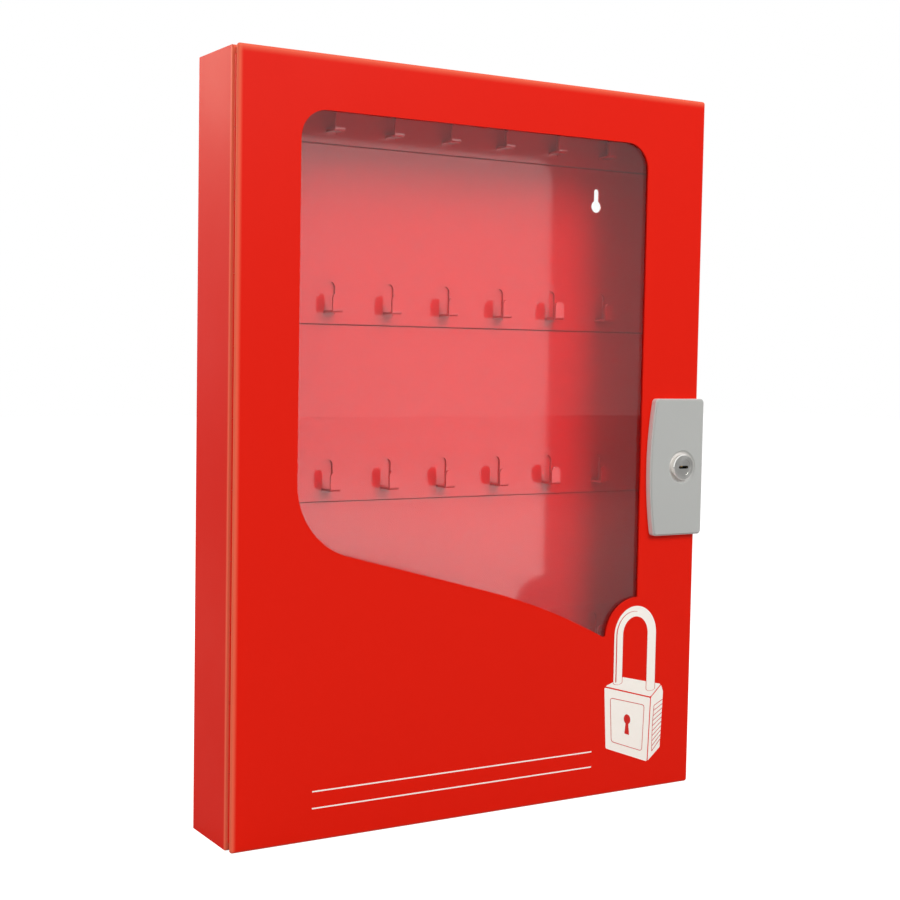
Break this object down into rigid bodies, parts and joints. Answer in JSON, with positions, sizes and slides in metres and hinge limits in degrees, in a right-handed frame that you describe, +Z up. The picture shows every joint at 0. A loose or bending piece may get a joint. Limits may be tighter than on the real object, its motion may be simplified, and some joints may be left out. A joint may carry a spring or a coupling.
{
  "type": "padlock cabinet",
  "caption": "Shallow wall cabinet of folded sheet steel for padlocks: piano-hinged door with a shaped window, cam lock in a grey pull plate, and rails of lanced hooks inside",
  "frame": {"origin": "Middle of the back face, on the plane of the wall the cabinet hangs on", "axes": "+Z up, +Y out of the back towards the wall, door facing -Y, hinge on the -X side, lock on the +X side"},
  "size_m": [0.368, 0.0693, 0.5],
  "materials": {
    "red_paint": "gloss powder coat on steel sheet",
    "clear_acrylic": "clear polished acrylic sheet",
    "satin_grey": "satin light grey coating",
    "chrome": "polished chrome plate",
    "zinc_steel": "bright zinc plated steel",
    "aluminium_rivet": "plain aluminium",
    "rubber": "matte black rubber"
  },
  "bodies": {
    "cabinet": {"back_panel": "red_paint", "wall_left": "red_paint", "wall_right": "red_paint", "wall_top": "red_paint", "wall_bottom": "red_paint", "hook_rail_1": "red_paint", "hook_rail_2": "red_paint", "hook_rail_3": "red_paint", "hook_rail_4": "red_paint", "hinge_leaf_body": "zinc_steel", "hinge_pin": "zinc_steel", "hinge_rivets": "aluminium_rivet", "door_bumpers": "rubber"},
    "door": {"door_panel": "red_paint", "hinge_leaf_door": "zinc_steel", "window_pane": "clear_acrylic", "pane_studs": "zinc_steel", "pane_clips": "zinc_steel", "pane_nuts": "zinc_steel", "lock_plate": "satin_grey", "plate_screws": "zinc_steel", "lock_housing": "chrome", "lock_nut": "zinc_steel"},
    "lock": {"lock_plug": "chrome", "lock_cam": "zinc_steel", "cam_washer": "zinc_steel", "cam_screw": "zinc_steel"}
  },
  "joints": [
    {"name": "door_swing", "type": "hinge", "parent": "cabinet", "child": "door", "pos_m": [-0.1807, -0.0572, 0], "axis": [0, 0, -1], "range_deg": [0, 110]},
    {"name": "lock_turn", "type": "hinge", "parent": "door", "child": "lock", "pos_m": [0.1656, -0.0572, -0.0148], "axis": [0, 1, 0], "range_deg": [0, 90]}
  ]
}
